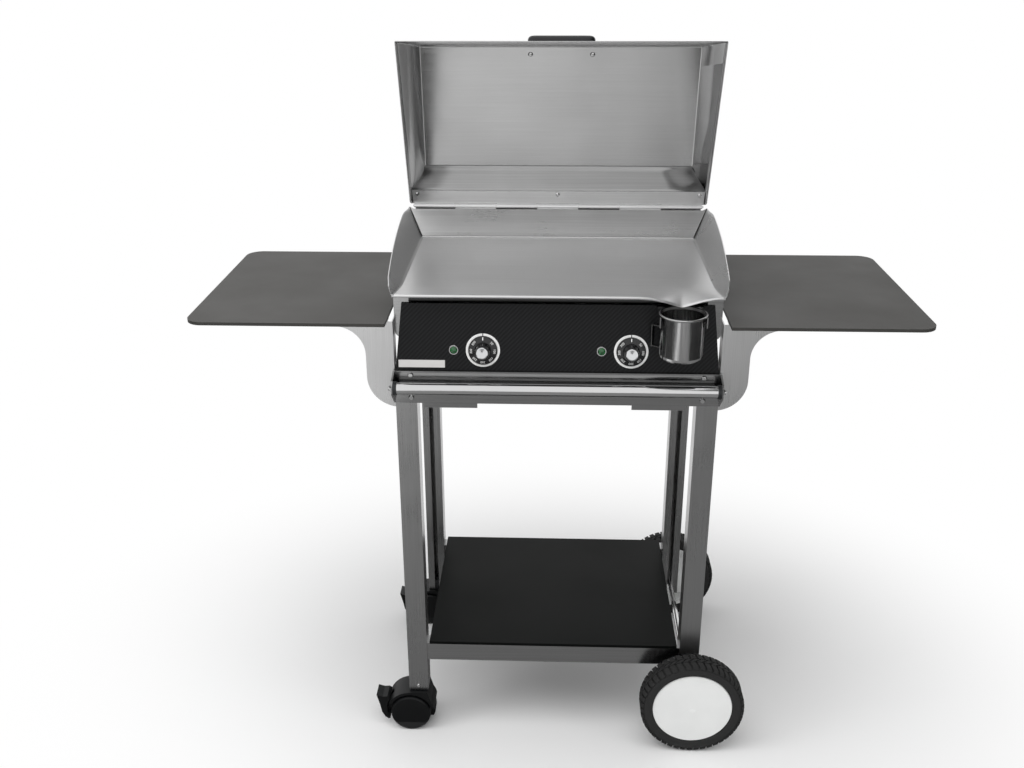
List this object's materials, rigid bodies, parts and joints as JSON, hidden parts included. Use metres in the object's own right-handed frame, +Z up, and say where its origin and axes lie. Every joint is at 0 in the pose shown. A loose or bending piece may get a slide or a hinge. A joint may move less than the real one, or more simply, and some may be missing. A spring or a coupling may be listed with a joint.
{
  "type": "plancha on cart",
  "caption": "Electric griddle with a hinged hood on a sheet steel trolley with side shelves, a lower shelf, castors on the left and big wheels on the right.",
  "frame": {"origin": "on the floor at the centre of the plan of the whole object", "axes": "+Z up, the front with the knobs faces -Y, +X towards the side with the big wheels"},
  "size_m": [1.352, 0.5544, 1.3841],
  "materials": {
    "stainless": "brushed satin stainless sheet",
    "polished_steel": "polished stainless",
    "carbon_look_fascia": "black with a diagonal woven look",
    "blank_label": "satin, bare",
    "white_print": "satin white",
    "black_plastic": "fine grained",
    "phenolic": "moulded",
    "green_lens": "clear dark green",
    "heater_sheath": "heat darkened",
    "black_rubber": "matt",
    "tyre_rubber": "matt, block tread",
    "pale_plastic": "smooth",
    "grey_laminate": "compact laminate, fine satin",
    "black_laminate": "compact laminate, satin"
  },
  "bodies": {
    "cart": {"griddle_pan": "stainless", "housing": "stainless", "fascia": "carbon_look_fascia", "blank_plate": "blank_label", "dial_rings": "white_print", "thermostats": "phenolic", "pilot_bezels": "polished_steel", "pilot_lenses": "green_lens", "heating_elements": "heater_sheath", "housing_feet": "black_rubber", "power_gland": "black_plastic", "hinge_pin": "polished_steel", "hinge_leaf_pan": "stainless", "cup_hanger": "stainless", "front_apron": "stainless", "rear_apron": "stainless", "side_rail_left": "stainless", "side_rail_right": "stainless", "leg_front_left": "stainless", "leg_front_right": "stainless", "leg_rear_left": "stainless", "leg_rear_right": "stainless", "lower_shelf": "black_laminate", "lower_rail_front": "stainless", "lower_rail_rear": "stainless", "towel_bar": "polished_steel", "bar_bushes": "black_plastic", "bar_nuts": "polished_steel", "frame_bolts": "polished_steel", "shelf_left": "grey_laminate", "shelf_right": "grey_laminate", "bracket_front_left": "stainless", "bracket_front_right": "stainless", "bracket_rear_left": "stainless", "bracket_rear_right": "stainless", "wheel_axle": "polished_steel", "castor_plugs": "black_plastic"},
    "hood": {"hood_shell": "stainless", "hood_handle_grip": "black_plastic", "hood_handle_posts": "black_plastic", "hinge_leaf_hood": "stainless", "strip_bolts": "polished_steel"},
    "knob_left": {"knob_left": "black_plastic", "knob_cap_left": "polished_steel"},
    "knob_right": {"knob_right": "black_plastic", "knob_cap_right": "polished_steel"},
    "cup": {"grease_cup": "polished_steel"},
    "wheel_front": {"wheel_front_tyre": "tyre_rubber", "wheel_front_disc": "pale_plastic"},
    "wheel_rear": {"wheel_rear_tyre": "tyre_rubber", "wheel_rear_disc": "pale_plastic"},
    "castor_front": {"castor_front_body": "black_plastic"},
    "castor_front_wheels": {"castor_front_wheels": "black_plastic"},
    "castor_front_pedal": {"castor_front_pedal": "black_plastic"},
    "castor_rear": {"castor_rear_body": "black_plastic"},
    "castor_rear_wheels": {"castor_rear_wheels": "black_plastic"},
    "castor_rear_pedal": {"castor_rear_pedal": "black_plastic"}
  },
  "joints": [
    {"name": "hood_hinge", "type": "hinge", "parent": "cart", "child": "hood", "pos_m": [0, 0.23561, 1.026], "axis": [1, 0, 0], "range_deg": [0, 61.5]},
    {"name": "knob_left_turn", "type": "hinge", "parent": "cart", "child": "knob_left", "pos_m": [-0.136, -0.19175, 0.858], "axis": [0, 0.9914, -0.1305], "range_deg": [0, 290]},
    {"name": "knob_right_turn", "type": "hinge", "parent": "cart", "child": "knob_right", "pos_m": [0.136, -0.19175, 0.858], "axis": [0, 0.9914, -0.1305], "range_deg": [0, 290]},
    {"name": "cup_slide_out", "type": "slide", "parent": "cart", "child": "cup", "axis": [0, -1, 0], "range_m": [0, 0.09]},
    {"name": "wheel_front_spin", "type": "hinge", "parent": "cart", "child": "wheel_front", "pos_m": [0.286, -0.23775, 0.1055], "axis": [0, 1, 0], "continuous": true},
    {"name": "wheel_rear_spin", "type": "hinge", "parent": "cart", "child": "wheel_rear", "pos_m": [0.286, 0.25225, 0.1055], "axis": [0, 1, 0], "continuous": true},
    {"name": "castor_front_swivel", "type": "hinge", "parent": "cart", "child": "castor_front", "pos_m": [-0.28, -0.18275, 0.06], "axis": [0, 0, 1], "continuous": true},
    {"name": "castor_front_roll", "type": "hinge", "parent": "castor_front", "child": "castor_front_wheels", "pos_m": [-0.298, -0.18275, 0.042], "axis": [0, 1, 0], "continuous": true},
    {"name": "castor_front_brake", "type": "hinge", "parent": "castor_front", "child": "castor_front_pedal", "pos_m": [-0.344, -0.18275, 0.042], "axis": [0, -1, 0], "range_deg": [0, 12]},
    {"name": "castor_rear_swivel", "type": "hinge", "parent": "cart", "child": "castor_rear", "pos_m": [-0.28, 0.19725, 0.06], "axis": [0, 0, 1], "continuous": true},
    {"name": "castor_rear_roll", "type": "hinge", "parent": "castor_rear", "child": "castor_rear_wheels", "pos_m": [-0.298, 0.19725, 0.042], "axis": [0, 1, 0], "continuous": true},
    {"name": "castor_rear_brake", "type": "hinge", "parent": "castor_rear", "child": "castor_rear_pedal", "pos_m": [-0.344, 0.19725, 0.042], "axis": [0, -1, 0], "range_deg": [0, 12]}
  ]
}
